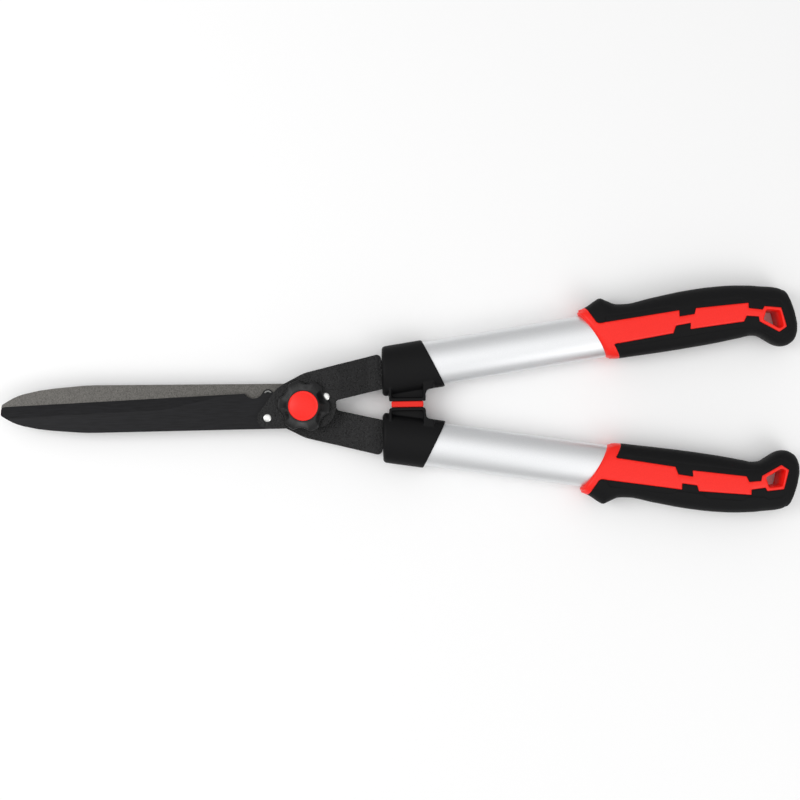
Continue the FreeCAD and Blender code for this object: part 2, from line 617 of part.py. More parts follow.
def tension_dial():
    grip = rod(DIAL_RADIUS, DIAL_BOTTOM, DIAL_TOP)
    scallop = rod(SCALLOP_RADIUS, DIAL_BOTTOM, DIAL_TOP, (DIAL_RADIUS + SCALLOP_RADIUS - SCALLOP_DEPTH, 0))
    for i in range(DIAL_LOBES):
        grip = grip.cut(scallop.rotated(Vec(0, 0, 0), UP, DIAL_PHASE + 360 * i / DIAL_LOBES))
    upright = [e for e in grip.Edges if abs(e.BoundBox.ZLength - (DIAL_TOP - DIAL_BOTTOM)) < 1e-6
               and abs(math.hypot(*e.CenterOfMass[:2]) - DIAL_RADIUS) < 1e-3
               and len(grip.ancestorsOfType(e, Part.Face)) == 2]
    grip = grip.makeFillet(LOBE_ROUND, upright)
    flank = turned((
        (0, DIAL_BOTTOM),
        (DIAL_RADIUS, DIAL_BOTTOM),
        (DIAL_RADIUS, DIAL_BOTTOM + DIAL_RIM),
        (CAP_RADIUS + CAP_FIT + DIAL_LAND, DIAL_TOP),
        (0, DIAL_TOP),
    ))
    dial = grip.common(flank)
    dial = dial.cut(rod(THRUST_RADIUS + POCKET_GAP, DIAL_BOTTOM, NUT_BOTTOM))
    dial = dial.cut(hexagon(NUT_FLATS + 2 * NUT_FIT, NUT_BOTTOM, NUT_TOP))
    dial = dial.cut(rod(CAP_RADIUS + CAP_FIT, CAP_FLOOR, DIAL_TOP))
    return dial.cut(rod(CAP_PLUG_RADIUS + CAP_FIT, CAP_FLOOR - CAP_PLUG_DEPTH, CAP_FLOOR))


def dial_cap():
    rise = CAP_DOME
    ball = (CAP_RADIUS ** 2 + rise ** 2) / (2 * rise)
    disc = rod(CAP_RADIUS, CAP_FLOOR, DIAL_TOP)
    dome = Part.makeSphere(ball, Vec(0, 0, DIAL_TOP + rise - ball))
    dome = dome.common(rod(CAP_RADIUS, DIAL_TOP, DIAL_TOP + rise))
    return disc.fuse([dome, rod(CAP_PLUG_RADIUS, CAP_FLOOR - CAP_PLUG_DEPTH, CAP_FLOOR)]).removeSplitter()


# ---- assembly -----------------------------------------------------------------------------------------
def main():
    os.makedirs("parts", exist_ok=True)
    core, sleeve = grip_pieces()
    hub_holes = {
        "front": rod(BUSH_RADIUS + RUNNING_FIT, BLADE_OUT, SHANK_OUT),
        "back": square_neck(NECK_FIT).rotated(Vec(0, 0, 0), Vec(1, 0, 0), 180),
    }
    for side, place in (("front", front_piece), ("back", back_piece)):
        export(f"{side}_blade", place(blade()))
        export(f"{side}_shank", place(shank(hub_holes[side])))
        export(f"{side}_blade_rivets", place(Part.makeCompound([rivet(spot) for spot in RIVET_SPOTS])))
        export(f"{side}_tang_insert", place(tang_plug()))
        export(f"{side}_cross_pin", place(on_handle(pin_rod(PIN_RADIUS, TUBE_HEIGHT / 2 - TUBE_FIT))))
        export(f"{side}_tube", place(on_handle(tube())))
        export(f"{side}_collar", place(collar(side)))
        export(f"{side}_grip_core", place(on_handle(core)))
        export(f"{side}_grip_sleeve", place(on_handle(sleeve)))
    pivot = {
        "pivot_bolt": pivot_bolt(),
        "pivot_washer": pivot_washer(),
        "pivot_bush": pivot_bush(),
        "spring_washer": spring_washer(),
        "thrust_washer": thrust_washer(),
        "tension_nut": tension_nut(),
        "tension_dial": tension_dial(),
        "dial_cap": dial_cap(),
        "stop_bumper": bumper(),
    }
    for name, shape in pivot.items():
        export(name, front_piece(shape))


main()
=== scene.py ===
# Hedge shears with straight blades, lying closed on a pale table. Metres; +X from the tips to the grips.
import math

import bmesh
import bpy
import numpy as np
from mathutils import Matrix, Vector
from mathutils.geometry import delaunay_2d_cdt


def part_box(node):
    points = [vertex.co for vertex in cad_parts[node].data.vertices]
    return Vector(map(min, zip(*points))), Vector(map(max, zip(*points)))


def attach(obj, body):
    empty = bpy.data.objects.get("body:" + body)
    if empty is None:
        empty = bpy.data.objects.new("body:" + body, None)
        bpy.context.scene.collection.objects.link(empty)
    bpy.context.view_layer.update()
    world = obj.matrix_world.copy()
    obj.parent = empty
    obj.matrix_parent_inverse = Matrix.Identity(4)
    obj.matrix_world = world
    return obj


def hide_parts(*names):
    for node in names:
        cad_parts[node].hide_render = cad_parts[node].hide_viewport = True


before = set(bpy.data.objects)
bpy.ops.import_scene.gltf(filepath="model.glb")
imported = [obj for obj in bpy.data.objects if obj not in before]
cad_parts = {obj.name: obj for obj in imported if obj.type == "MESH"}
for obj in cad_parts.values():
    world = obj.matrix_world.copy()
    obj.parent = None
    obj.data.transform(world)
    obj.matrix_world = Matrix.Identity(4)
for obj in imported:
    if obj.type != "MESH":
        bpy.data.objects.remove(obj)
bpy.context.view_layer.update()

# ---- Camera -----------------------------------------------------------------------------------------------
# It looks straight down on the tool from just under a metre, and the tool lies a touch askew under it.
MM = 0.001
tube_low, tube_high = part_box("front_tube")
MID = (tube_low.z + tube_high.z) / 2            # height of the plane where the two blades meet
CAMERA_RISE = 950 * MM                          # above that plane
CAMERA_SPOT = (71.5 * MM, 3.2 * MM)
FIELD = 600 * MM                                # width of that plane in the frame
SENSOR = 36.0
TOOL_TILT = math.radians(0.9)

camera_data = bpy.data.cameras.new("camera")
camera_data.sensor_width = SENSOR
camera_data.lens = SENSOR * CAMERA_RISE / FIELD
camera = bpy.data.objects.new("camera", camera_data)
camera.location = (*CAMERA_SPOT, MID + CAMERA_RISE)
camera.rotation_euler = (0, 0, -TOOL_TILT)
bpy.context.scene.collection.objects.link(camera)
bpy.context.scene.camera = camera
bpy.context.scene.view_settings.view_transform = "Standard"

# ---- Table and light --------------------------------------------------------------------------------------
# A matt white table in a pale room that is brightest straight overhead, with a large soft lamp on the side
# of the tips and a weaker one on the side of the grips.
TABLE_SIZE = 12.0
TABLE_COLOUR = "#FCFCFC"
ROOM_LIGHT, OVERHEAD_LIGHT, OVERHEAD_FOCUS = 0.55, 1.0, 9.0
NOISE_SPAN = (0.3, 0.7)                         # part of the noise range that a material uses


def colour(code):
    """Linear RGBA of an sRGB hex value."""
    values = [int(code[i:i + 2], 16) / 255 for i in (1, 3, 5)]
    return [v / 12.92 if v <= 0.04045 else ((v + 0.055) / 1.055) ** 2.4 for v in values] + [1.0]


def node(tree, kind, links=None, **settings):
    """Adds a node; settings are sockets (by name) or attributes, links are socket: source socket."""
    made = tree.nodes.new(kind)
    for key, value in settings.items():
        if hasattr(made, key):
            setattr(made, key, value)
        else:
            made.inputs[key.replace("_", " ")].default_value = value
    for key, source in (links or {}).items():
        tree.links.new(source, made.inputs[key])
    return made


def material(name, base, metallic=0.0, roughness=0.5, **extra):
    """A material with a Principled shader; returns material, tree and shader."""
    made = bpy.data.materials.new(name)
    made.use_nodes = True
    shader = made.node_tree.nodes["Principled BSDF"]
    shader.inputs["Base Color"].default_value = colour(base)
    shader.inputs["Metallic"].default_value = metallic
    shader.inputs["Roughness"].default_value = roughness
    for key, value in extra.items():
        shader.inputs[key.replace("_", " ")].default_value = value
    return made, made.node_tree, shader


def grain(tree, scale, detail=2.0, stretch=(1, 1, 1)):
    """Noise on Object coordinates; scale is waves per metre, stretch below 1 draws it out along an axis."""
    place = node(tree, "ShaderNodeTexCoord")
    mapping = node(tree, "ShaderNodeMapping", {"Vector": place.outputs["Object"]}, Scale=stretch)
    vector = {"Vector": mapping.outputs["Vector"]}
    return node(tree, "ShaderNodeTexNoise", vector, Scale=scale, Detail=detail).outputs["Fac"]


def emboss(tree, shader, source, depth):
    """Raises the surface by depth metres where source is 1."""
    bump = node(tree, "ShaderNodeBump", {"Height": source}, Distance=depth, Strength=1.0)
    tree.links.new(bump.outputs["Normal"], shader.inputs["Normal"])


def vary(tree, shader, socket, source, low, high):
    """Drives a socket between two values or colours with source."""
    if isinstance(low, str):
        ramp = node(tree, "ShaderNodeValToRGB", {"Fac": source})
        for element, position, code in zip(ramp.color_ramp.elements, NOISE_SPAN, (low, high)):
            element.position, element.color = position, colour(code)
        tree.links.new(ramp.outputs["Color"], shader.inputs[socket])
    else:
        span = node(tree, "ShaderNodeMapRange", {"Value": source}, From_Min=NOISE_SPAN[0],
                    From_Max=NOISE_SPAN[1], To_Min=low, To_Max=high)
        tree.links.new(span.outputs["Result"], shader.inputs[socket])


def textured(name, base, waves, detail, colours, roughnesses, depth, stretch=(1, 1, 1), **settings):
    """A material whose colour, roughness and height all follow one grain; depth is in metres."""
    made, tree, shader = material(name, base, **settings)
    source = grain(tree, waves, detail, stretch)
    vary(tree, shader, "Base Color", source, *colours)
    vary(tree, shader, "Roughness", source, *roughnesses)
    emboss(tree, shader, source, depth)
    return made


def new_object(name, mesh):
    made = bpy.data.objects.new(name, mesh)
    bpy.context.scene.collection.objects.link(made)
    return made


table_mesh = bpy.data.meshes.new("table")
half = TABLE_SIZE / 2
table_corners = [(-half, -half, 0), (half, -half, 0), (half, half, 0), (-half, half, 0)]
table_mesh.from_pydata(table_corners, [], [(0, 1, 2, 3)])
table = new_object("table", table_mesh)
paper, paper_tree, paper_shader = material("matt_white_paper", TABLE_COLOUR, roughness=0.9)
emboss(paper_tree, paper_shader, grain(paper_tree, 900), 0.02 * MM)
table_mesh.materials.append(paper)

world = bpy.data.worlds.new("studio")
world.use_nodes = True
sky = world.node_tree
upwards = node(sky, "ShaderNodeTexCoord")
direction = node(sky, "ShaderNodeSeparateXYZ", {"Vector": upwards.outputs["Generated"]})
focus = node(sky, "ShaderNodeMath", {0: direction.outputs["Z"]}, operation="POWER", use_clamp=True)
focus.inputs[1].default_value = OVERHEAD_FOCUS
brightness = node(sky, "ShaderNodeMapRange", {"Value": focus.outputs[0]}, To_Min=ROOM_LIGHT,
                  To_Max=ROOM_LIGHT + OVERHEAD_LIGHT)
sky.nodes["Background"].inputs["Color"].default_value = (1, 1, 1, 1)
sky.links.new(brightness.outputs["Result"], sky.nodes["Background"].inputs["Strength"])
bpy.context.scene.world = world


def lamp(name, spot, target, size, power):
    data = bpy.data.lights.new(name, "AREA")
    data.shape, data.size, data.energy = "DISK", size, power
    made = bpy.data.objects.new(name, data)
    made.location = spot
    made.rotation_euler = (Vector(target) - Vector(spot)).to_track_quat("-Z", "Y").to_euler()
    bpy.context.scene.collection.objects.link(made)


lamp("soft_lamp_left", (-0.9, 0.15, 1.1), (0, 0, 0), 0.8, 6.0)
lamp("soft_lamp_right", (0.8, -0.8, 1.1), (0.1, 0, 0), 0.8, 3.5)

# ---- Blades -----------------------------------------------------------------------------------------------
# Two flat blades of hardened steel, 3 mm thick: the outer face and the ground bevel carry a black non-stick
# coat, and the inner faces, which slide on each other, are ground bare and wear to a warm grey.
SIDES = (("front", "front_lever"), ("back", "back_lever"))
BLADE_IN, BLADE_OUT = 0.1, 3.1                  # faces from the middle plane, mm
BLADE_REACH, HEEL_REACH = 227.5, 44.5
EDGE_AT_TIP, EDGE_AT_HEEL = 2.4, 9.7
BEVEL_WIDTH, BEVEL_RUNOUT, EDGE_LAND = 8.8, 60.0, 0.5
NOTCH_RADIUS, NOTCH_SPOT = 7.7, (-38.1, 13.7)
BLADE_CORNERS = (
    (-BLADE_REACH, EDGE_AT_TIP, 2.5), (-BLADE_REACH, -3.9, 2.5), (-216.5, -10.4, 40), (-199, -14.9, 130),
    (-163, -17.9, 150), (22.4, -16.5, 14), (22.4, 11.5, 8), (-HEEL_REACH, EDGE_AT_HEEL, 0),
)
HUB_HOLE = 6.56
RIVET_SPOTS = ((-27.5, -8.7), (16.2, 6.5))
RIVET_HOLE = 2.25
SINK_RADIUS, SINK_DEPTH = 3.3, 1.15             # cone for the flush head
RECESS_RADIUS, RECESS_DEPTH = 4.2, 0.3          # recess round it; its floor keeps the dark coat, painted shade for the ring round the head
BLADE_EDGE = 0.25 * MM
THROUGH_BLADE, THROUGH_SHANK = (-1, 5), (1, 9)  # heights of the tools that cut holes


def outline(corners, step=math.radians(7)):
    """Points of a closed outline whose corners (x, y, radius) are rounded by tangent arcs, all in mm."""
    points = []
    for i, (x, y, radius) in enumerate(corners):
        here = Vector((x, y))
        before = (Vector(corners[i - 1][:2]) - here).normalized()
        after = (Vector(corners[(i + 1) % len(corners)][:2]) - here).normalized()
        if radius == 0:
            points.append(here)
            continue
        half = before.angle(after) / 2
        centre = here + (before + after).normalized() * radius / math.sin(half)
        start = here + before * radius / math.tan(half) - centre
        turn = math.pi - 2 * half
        if before.x * after.y - before.y * after.x > 0:
            turn = -turn
        count = max(2, math.ceil(abs(turn) / step))
        for k in range(count + 1):
            arm = start.copy()
            arm.rotate(Matrix.Rotation(turn * k / count, 2))
            points.append(centre + arm)
    return points


def prism(points, low, high, top=None):
    """Mesh between two heights over an outline, which may change to another on top; all in mm."""
    built = bmesh.new()
    lower = [built.verts.new((p[0] * MM, p[1] * MM, low * MM)) for p in points]
    upper = [built.verts.new((p[0] * MM, p[1] * MM, high * MM)) for p in top or points]
    built.faces.new(lower)
    built.faces.new(upper)
    for i in range(len(points)):
        j = (i + 1) % len(points)
        built.faces.new((lower[i], lower[j], upper[j], upper[i]))
    bmesh.ops.recalc_face_normals(built, faces=built.faces)
    mesh = bpy.data.meshes.new("prism")
    built.to_mesh(mesh)
    built.free()
    return mesh


def circle(radius, spot=(0, 0), count=64):
    turns = [2 * math.pi * k / count for k in range(count)]
    return [(spot[0] + radius * math.cos(t), spot[1] + radius * math.sin(t)) for t in turns]


def modified(obj, kind, **settings):
    """Adds a modifier, applies it and removes it."""
    modifier = obj.modifiers.new(kind.lower(), kind)
    for key, value in settings.items():
        setattr(modifier, key, value)
    graph = bpy.context.evaluated_depsgraph_get()
    mesh = bpy.data.meshes.new_from_object(obj.evaluated_get(graph), preserve_all_data_layers=True,
                                           depsgraph=graph)
    obj.modifiers.remove(modifier)
    obj.data = mesh


def cut(obj, *tools):
    """Cuts the tools' meshes out of the object."""
    for mesh in tools:
        tool = new_object("tool", mesh)
        modified(obj, "BOOLEAN", object=tool, operation="DIFFERENCE", solver="EXACT")
        bpy.data.objects.remove(tool)


def softened(obj, width, angle, segments):
    """Rounds the sharp edges and shades the piece smooth between them."""
    for polygon in obj.data.polygons:
        polygon.use_smooth = True
    modified(obj, "BEVEL", width=width, segments=segments, limit_method="ANGLE",
             angle_limit=math.radians(angle), harden_normals=True, use_clamp_overlap=True)


def on_lever(obj, side, body, node_name, slot_name, *coats):
    place = Matrix.Translation((0, 0, MID))
    if side == "back":
        place = place @ Matrix.Rotation(math.pi, 4, "X")
    obj.data.transform(place)
    for coat in coats:
        obj.data.materials.append(coat)
    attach(obj, body)
    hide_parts(f"{side}_{node_name}")


def grinding_tool():
    """Wedge over the ground bevel; it twists flat towards the heel."""
    rings = []
    for x, share in ((-BLADE_REACH - 3, 1), (-HEEL_REACH - BEVEL_RUNOUT, 1), (-HEEL_REACH, 0.001)):
        edge = EDGE_AT_TIP + (EDGE_AT_HEEL - EDGE_AT_TIP) * (BLADE_REACH + x) / (BLADE_REACH - HEEL_REACH)
        depth = (BLADE_OUT - BLADE_IN - EDGE_LAND) * share * (BEVEL_WIDTH + 2) / BEVEL_WIDTH
        rings.append([(x, edge - BEVEL_WIDTH, BLADE_OUT), (x, edge + 2, BLADE_OUT - depth),
                      (x, edge + 2, BLADE_OUT + 2), (x, edge - BEVEL_WIDTH, BLADE_OUT + 2)])
    built = bmesh.new()
    rows = [[built.verts.new(Vector(p) * MM) for p in ring] for ring in rings]
    built.faces.new(rows[0])
    built.faces.new(rows[-1])
    for near, far in zip(rows, rows[1:]):
        for i in range(4):
            j = (i + 1) % 4
            built.faces.new((near[i], near[j], far[j]))
            built.faces.new((near[i], far[j], far[i]))
    bmesh.ops.recalc_face_normals(built, faces=built.faces)
    mesh = bpy.data.meshes.new("grinding_tool")
    built.to_mesh(mesh)
    built.free()
    return mesh


# Black PTFE-loaded coat, sprayed thin on ground steel: satin, with a faint lengthwise grain under it.
coat = textured("ptfe_coated_steel", "#1F1F21", 1500, 4, ("#1A1A1B", "#242426"), (0.36, 0.48), 0.01 * MM,
                stretch=(0.06, 1, 1), metallic=0.35, roughness=0.42, Specular_IOR_Level=0.14)

# Surface-ground hardened steel, worn by the other blade: fine cross grain about 0.3 mm wide, warm grey.
ground = textured("ground_blade_steel", "#64625E", 1900, 6, ("#3E3C3A", "#72706C"), (0.4, 0.6), 0.02 * MM,
                  stretch=(1, 0.7, 1), metallic=0.75, roughness=0.5)

for side, body in SIDES:
    blade = new_object(f"{side}_blade_ground", prism(outline(BLADE_CORNERS), BLADE_IN, BLADE_OUT))
    cut(blade, prism(circle(NOTCH_RADIUS, NOTCH_SPOT, 96), *THROUGH_BLADE), grinding_tool(),
        prism(circle(HUB_HOLE), *THROUGH_BLADE))
    for spot in RIVET_SPOTS:
        stem_hole = circle(RIVET_HOLE, spot, 40)
        cut(blade, prism(stem_hole, *THROUGH_BLADE),
            prism(circle(SINK_RADIUS, spot, 40), BLADE_IN - 0.01, BLADE_IN + SINK_DEPTH, stem_hole),
            prism(circle(RECESS_RADIUS, spot, 40), THROUGH_BLADE[0], BLADE_IN + RECESS_DEPTH))
    softened(blade, BLADE_EDGE, angle=12, segments=2)
    # Only the inner face gets the bare ground material; the recess floors keep the dark coat as painted shade
    # round the flush heads.
    inner = [p.index for p in blade.data.polygons
             if p.normal.z < -0.9 and p.center.z < (BLADE_IN + RECESS_DEPTH / 2) * MM]
    on_lever(blade, side, body, "blade", "blade_steel", coat, ground)
    for index in inner:
        blade.data.polygons[index].material_index = 1

# ---- Shanks -----------------------------------------------------------------------------------------------
# Pressed steel plates, 3.5 mm thick, riveted to the blades. Each arm is joggled down to the middle plane, so
# that its tang stands in the middle of the tube. The finish is a black powder coat with an orange-peel grain.
SHANK_OUT, SHANK_THICKNESS = 6.6, 3.5
JOGGLE_START, JOGGLE_END, BEND_RADIUS = 25.5, 48.0, 4.75
JOGGLE_CUTS, JOGGLE_MARGIN = 30, 3              # slices the bends are drawn with, and how far past them
HANDLE_ANGLE = math.radians(8.63)
TUBE_OFFSET, TUBE_START = 15.6, 69.0
TANG_END, TANG_HALF, TANG_SHIFT = 96.0, 10.8, -2.2
SHOULDER, SHOULDER_ROUND = 57.9, 3.6
HUB_SIDE, OUTER_SLOPE = 24.3, math.tan(math.radians(13.6))
PRESS_EDGE = 0.55 * MM


def handle_point(along, across):
    """Place on the lever of a point along the tube from the pivot and across from the tube axis, mm."""
    turn = Matrix.Rotation(HANDLE_ANGLE, 2)
    return turn @ Vector((along, across + TUBE_OFFSET))


def shank_corners():
    tang = []
    for half_width in (TANG_HALF, -TANG_HALF):
        far = handle_point(TANG_END, TANG_SHIFT + half_width)
        near = far - Vector((1, math.tan(HANDLE_ANGLE))) * (far.x - SHOULDER)
        tang.append((near, far))
    (outer_near, outer_far), (inner_near, inner_far) = tang
    return (
        (-42.7, -16.5, 7.6), (-19.7, 14.1, 25), (0, HUB_SIDE, 25),
        (SHOULDER, HUB_SIDE + SHOULDER * OUTER_SLOPE, SHOULDER_ROUND),
        (*outer_near, 0), (*outer_far, 2), (*inner_far, 2), (*inner_near, 0),
        (23.4, 3.6, 3), (23.4, -16.5, 14.6),
    )


def joggle(x):
    """Height of the shank's lower face at x, mm: two bends of a smooth radius."""
    top, bottom = BLADE_OUT, -SHANK_THICKNESS / 2
    slope = (bottom - top) / (JOGGLE_END - JOGGLE_START)
    reach = BEND_RADIUS * math.tan(math.atan(-slope) / 2) * 2

    def ramp(distance):
        """Zero before the bend, the distance after it, and a parabola between."""
        if distance < -reach:
            return 0.0
        return distance if distance > reach else (distance + reach) ** 2 / (4 * reach)

    return top + slope * (ramp(x - JOGGLE_START) - ramp(x - JOGGLE_END))


# Textured polyester powder coat: grains about 1.2 mm across stand up and each catches the light. Their tops
# are also painted a lighter grey, a painted glint added to the real ones.
powder = textured("textured_powder_coat", "#0D0D0E", 800, 3, ("#020202", "#1E1E1F"), (0.2, 0.44), 0.9 * MM,
                  roughness=0.34, Specular_IOR_Level=0.26)

for side, body in SIDES:
    flat = prism(outline(shank_corners()), 0, SHANK_THICKNESS)
    plate = bmesh.new()
    plate.from_mesh(flat)
    for step in range(JOGGLE_CUTS + 1):
        reach = step * (JOGGLE_END - JOGGLE_START + 2 * JOGGLE_MARGIN) / JOGGLE_CUTS
        x = (JOGGLE_START - JOGGLE_MARGIN + reach) * MM
        everything = plate.verts[:] + plate.edges[:] + plate.faces[:]
        bmesh.ops.bisect_plane(plate, geom=everything, plane_co=(x, 0, 0), plane_no=(1, 0, 0))
    for vertex in plate.verts:
        vertex.co.z += joggle(vertex.co.x / MM) * MM
    plate.to_mesh(flat)
    plate.free()
    shank = new_object(f"{side}_shank_plate", flat)
    cut(shank, prism(circle(HUB_HOLE), *THROUGH_SHANK),
        *[prism(circle(RIVET_HOLE, spot, 24), *THROUGH_SHANK) for spot in RIVET_SPOTS])
    softened(shank, PRESS_EDGE, angle=40, segments=3)
    on_lever(shank, side, body, "shank", "textured_coat", powder)

# ---- Rivets -----------------------------------------------------------------------------------------------
# Bright plated steel rivets, two to a lever: a low dome on the shank, and a flush cone on the blade's inner
# face. Geometry Nodes sets one on each of the two spots.
RIVET_HEAD, RIVET_DOME, RIVET_STEM = 2.95, 0.7, 2.2
RIVET_FLUSH, RIVET_FLUSH_DEPTH = 3.2, 1.1

# Zinc-plated steel, barrel plated after heading: bright, with faint turning rings and small dull spots.
zinc = textured("zinc_plated_steel", "#E4E4E2", 2600, 4, ("#D2D2D0", "#F0F0EE"), (0.2, 0.36), 0.008 * MM,
                metallic=1.0, roughness=0.24)


def rivet_tree():
    """Sets a rivet on each point of the mesh it is given. Sizes are inputs, in metres."""
    tree = bpy.data.node_groups.new("rivets", "GeometryNodeTree")
    face = tree.interface
    face.new_socket("Geometry", in_out="INPUT", socket_type="NodeSocketGeometry")
    sizes = {}
    kinds = dict.fromkeys(("Head radius", "Dome height", "Stem radius", "Stem length", "Flush radius",
                           "Flush depth"), "NodeSocketFloat")
    kinds["Material"] = "NodeSocketMaterial"
    for name, kind in kinds.items():
        sizes[name] = face.new_socket(name, in_out="INPUT", socket_type=kind).identifier
    face.new_socket("Geometry", in_out="OUTPUT", socket_type="NodeSocketGeometry")
    given = node(tree, "NodeGroupInput").outputs
    half_stem = node(tree, "ShaderNodeMath", {0: given["Stem length"]}, operation="DIVIDE")
    half_stem.inputs[1].default_value = 2.0
    stem_sizes = {"Radius": given["Stem radius"], "Depth": given["Stem length"]}
    stem = node(tree, "GeometryNodeMeshCylinder", stem_sizes, Vertices=32)
    low = node(tree, "ShaderNodeCombineXYZ", {"Z": half_stem.outputs[0]})
    stem_up = node(tree, "GeometryNodeTransform", {"Geometry": stem.outputs["Mesh"],
                                                   "Translation": low.outputs[0]})
    ball = node(tree, "GeometryNodeMeshUVSphere", Segments=40, Rings=20, Radius=1.0)
    shape = node(tree, "ShaderNodeCombineXYZ", {"X": given["Head radius"], "Y": given["Head radius"],
                                                "Z": given["Dome height"]})
    lift = node(tree, "ShaderNodeCombineXYZ", {"Z": given["Stem length"]})
    dome = node(tree, "GeometryNodeTransform", {"Geometry": ball.outputs["Mesh"], "Scale": shape.outputs[0],
                                                "Translation": lift.outputs[0]})
    cone_sizes = {"Radius Bottom": given["Flush radius"], "Radius Top": given["Stem radius"],
                  "Depth": given["Flush depth"]}
    cone = node(tree, "GeometryNodeMeshCone", cone_sizes, Vertices=40)
    joined = node(tree, "GeometryNodeJoinGeometry")
    for source in (stem_up.outputs[0], dome.outputs[0], cone.outputs["Mesh"]):
        tree.links.new(source, joined.inputs[0])
    set_on = node(tree, "GeometryNodeInstanceOnPoints", {"Points": given["Geometry"],
                                                         "Instance": joined.outputs[0]})
    real = node(tree, "GeometryNodeRealizeInstances", {"Geometry": set_on.outputs[0]})
    smooth = node(tree, "GeometryNodeSetShadeSmooth", {"Geometry": real.outputs[0]})
    painted = node(tree, "GeometryNodeSetMaterial", {"Geometry": smooth.outputs[0],
                                                     "Material": given["Material"]})
    node(tree, "NodeGroupOutput", {"Geometry": painted.outputs[0]})
    return tree, sizes


rivets_tree, rivet_inputs = rivet_tree()
rivet_sizes = {
    "Head radius": RIVET_HEAD, "Dome height": RIVET_DOME, "Stem radius": RIVET_STEM,
    "Stem length": SHANK_OUT - BLADE_IN, "Flush radius": RIVET_FLUSH, "Flush depth": RIVET_FLUSH_DEPTH,
}
for side, body in SIDES:
    spots = bpy.data.meshes.new(f"{side}_rivets")
    spots.from_pydata([(x * MM, y * MM, BLADE_IN * MM) for x, y in RIVET_SPOTS], [], [])
    rivets = new_object(f"{side}_rivets", spots)
    modifier = rivets.modifiers.new("rivets", "NODES")
    modifier.node_group = rivets_tree
    for name, value in rivet_sizes.items():
        modifier[rivet_inputs[name]] = value * MM
    modifier[rivet_inputs["Material"]] = zinc
    graph = bpy.context.evaluated_depsgraph_get()
    rivets.data = bpy.data.meshes.new_from_object(rivets.evaluated_get(graph), depsgraph=graph)
    rivets.modifiers.remove(modifier)
    on_lever(rivets, side, body, "blade_rivets", "bright_steel")

# ---- Handle tubes -----------------------------------------------------------------------------------------
# Extruded oval aluminium tubes, 33.4 x 21 mm with a 1.5 mm wall, blasted and clear anodised: silky, with no
# direction to the grain. The plastic plug and the cross pin inside hold the tang and don't show.
TUBE_HALF, TUBE_RISE, TUBE_WALL, TUBE_LENGTH = 16.7, 10.5, 1.5, 264.0
TUBE_COUNT = 96

anodised = textured("anodised_aluminium", "#E2E3E4", 3000, 5, ("#DDDEE0", "#E9EAEB"), (0.36, 0.46),
                    0.012 * MM, metallic=0.85, roughness=0.4)


def to_handle(mesh):
    """Moves a mesh drawn along its tube (X from the pivot, axis at Y 0) to its place on the lever."""
    mesh.transform(Matrix.Rotation(HANDLE_ANGLE, 4, "Z") @ Matrix.Translation((0, TUBE_OFFSET * MM, 0)))
    return mesh


def lathe(rows, closed=True):
    """Mesh through rows of points (mm) of equal count; the last row joins the first if closed."""
    built = bmesh.new()
    made = [[built.verts.new(Vector(p) * MM) for p in row] for row in rows]
    pairs = list(zip(made, made[1:] + made[:1])) if closed else list(zip(made, made[1:]))
    for near, far in pairs:
        for i in range(len(near)):
            j = (i + 1) % len(near)
            built.faces.new((near[i], near[j], far[j], far[i]))
    if not closed:
        built.faces.new(made[0])
        built.faces.new(made[-1])
    bmesh.ops.recalc_face_normals(built, faces=built.faces)
    mesh = bpy.data.meshes.new("lathe")
    built.to_mesh(mesh)
    built.free()
    return mesh


def oval_row(x, half_width, half_height):
    turns = [2 * math.pi * k / TUBE_COUNT for k in range(TUBE_COUNT)]
    return [(x, half_width * math.cos(t), half_height * math.sin(t)) for t in turns]


for side, body in SIDES:
    tube_end = TUBE_START + TUBE_LENGTH
    inner_half, inner_rise = TUBE_HALF - TUBE_WALL, TUBE_RISE - TUBE_WALL
    rows = [oval_row(TUBE_START, TUBE_HALF, TUBE_RISE), oval_row(tube_end, TUBE_HALF, TUBE_RISE),
            oval_row(tube_end, inner_half, inner_rise), oval_row(TUBE_START, inner_half, inner_rise)]
    tube = new_object(f"{side}_handle_tube", to_handle(lathe(rows)))
    softened(tube, 0.2 * MM, angle=40, segments=2)
    on_lever(tube, side, body, "tube", "satin_aluminium", anodised)
    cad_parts[f"{side}_tang_insert"].data.materials.clear()
    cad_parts[f"{side}_cross_pin"].data.materials.clear()
    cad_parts[f"{side}_cross_pin"].data.materials.append(zinc)

# ---- Collars ----------------------------------------------------------------------------------------------
# Glass-filled nylon mouldings pressed over the tubes' front ends. Each has a slanted mouth and, towards the
# other lever, a hollow boss for the stop. The mould is spark eroded, so the skin is matt with a fine grain.
REBUILD = 0.42 * MM                             # size of the even quads the moulding is rebuilt in
RELAX = 7                                       # passes that round its edges to about 0.8 mm

nylon = textured("spark_eroded_black_nylon", "#101011", 2200, 3, ("#0C0C0D", "#151516"), (0.42, 0.62),
                 0.05 * MM, roughness=0.5, Specular_IOR_Level=0.12)


def moulded(name, node_name, voxel, passes):
    """A copy of a CAD solid, rebuilt in even quads and relaxed, which rounds its edges as a mould does."""
    source = bmesh.new()
    source.from_mesh(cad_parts[node_name].data)
    bmesh.ops.remove_doubles(source, verts=source.verts, dist=1e-6)
    mesh = bpy.data.meshes.new(name)
    source.to_mesh(mesh)
    source.free()
    made = new_object(name, mesh)
    modified(made, "REMESH", mode="VOXEL", voxel_size=voxel, use_smooth_shade=True)
    modified(made, "SMOOTH", factor=0.5, iterations=passes)
    made.data.materials.clear()
    return made


for side, body in SIDES:
    collar = moulded(f"{side}_collar_moulding", f"{side}_collar", REBUILD, RELAX)
    collar.data.materials.append(nylon)
    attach(collar, body)
    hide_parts(f"{side}_collar")
    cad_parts[f"{side}_tang_insert"].data.materials.append(nylon)

